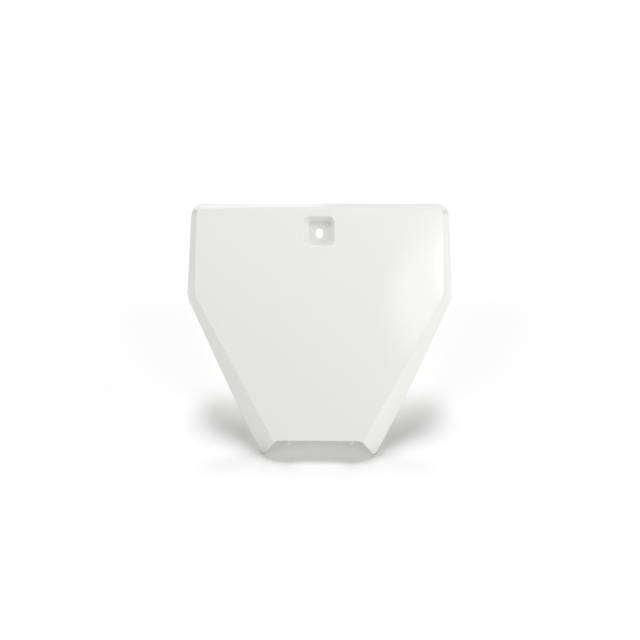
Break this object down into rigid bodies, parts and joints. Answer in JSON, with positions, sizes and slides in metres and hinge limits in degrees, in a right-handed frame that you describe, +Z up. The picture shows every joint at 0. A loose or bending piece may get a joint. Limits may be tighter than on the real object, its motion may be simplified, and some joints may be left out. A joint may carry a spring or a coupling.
{
  "type": "racing number board",
  "caption": "White moulded front number board for a motocross motorcycle: bowed face, slanted flange, screw pocket near the top and holding pegs behind the bottom edge.",
  "frame": {"origin": "middle of the screw slot, on the front of the pocket's floor", "axes": "+X to the right seen from the front, +Y to the back, +Z up; the face looks along -Y"},
  "size_m": [0.254, 0.0268, 0.241],
  "materials": {
    "board": "gloss moulded polypropylene"
  },
  "bodies": {
    "root": {"number_board": "board"}
  },
  "joints": []
}
